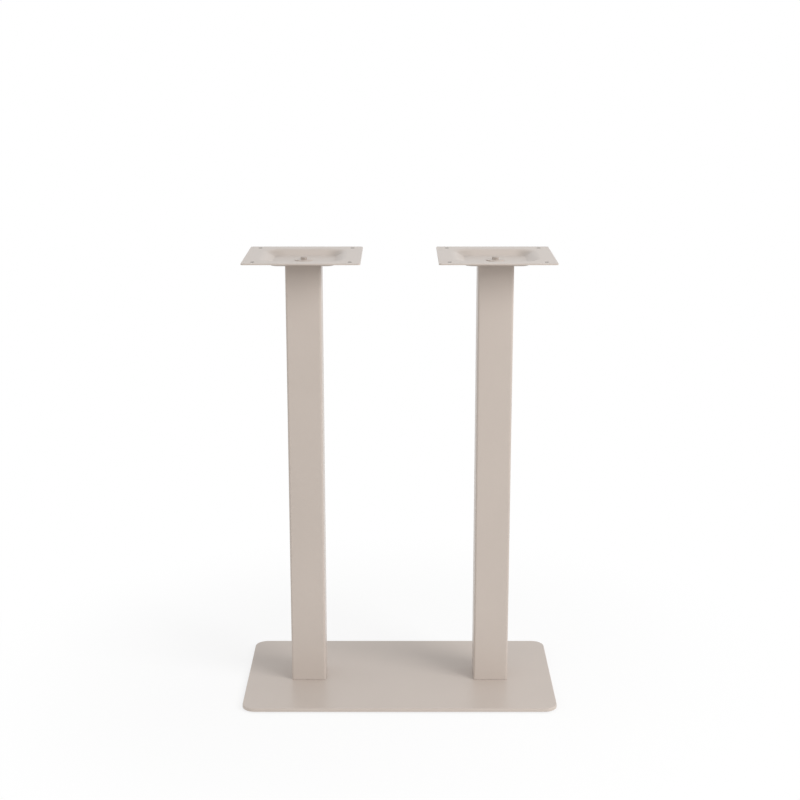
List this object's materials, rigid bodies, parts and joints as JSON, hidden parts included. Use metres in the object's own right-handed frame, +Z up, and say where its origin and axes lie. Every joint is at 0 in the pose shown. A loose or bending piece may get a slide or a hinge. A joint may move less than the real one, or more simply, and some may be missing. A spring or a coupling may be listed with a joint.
{
  "type": "double column table base",
  "caption": "Metal table base: square tube columns on a flat rounded base plate, each topped by a dished square plate drilled for screwing under a table top.",
  "frame": {"origin": "on the floor, under the middle of the base plate", "axes": "+Z up along the columns, +X along the long side of the base plate, from the left column to the right one, +Y from the front to the back"},
  "size_m": [0.72, 0.4, 1.02],
  "materials": {
    "powder_coat": "fine matte powder coat in warm grey",
    "coated_fastener": "satin coat in the same warm grey",
    "plain_steel": "mill finish",
    "black_screw": "black oxide",
    "glide_plastic": "moulded"
  },
  "bodies": {
    "root": {"base_plate": "powder_coat", "left_column": "powder_coat", "right_column": "powder_coat", "left_top_plate": "powder_coat", "right_top_plate": "powder_coat", "left_top_bolt": "coated_fastener", "right_top_bolt": "coated_fastener", "left_top_washer": "coated_fastener", "right_top_washer": "coated_fastener", "left_head_insert": "plain_steel", "right_head_insert": "plain_steel", "left_foot_insert": "plain_steel", "right_foot_insert": "plain_steel", "left_outer_base_screw": "black_screw", "left_inner_base_screw": "black_screw", "right_outer_base_screw": "black_screw", "right_inner_base_screw": "black_screw", "front_left_glide": "glide_plastic", "front_right_glide": "glide_plastic", "rear_left_glide": "glide_plastic", "rear_right_glide": "glide_plastic"}
  },
  "joints": []
}
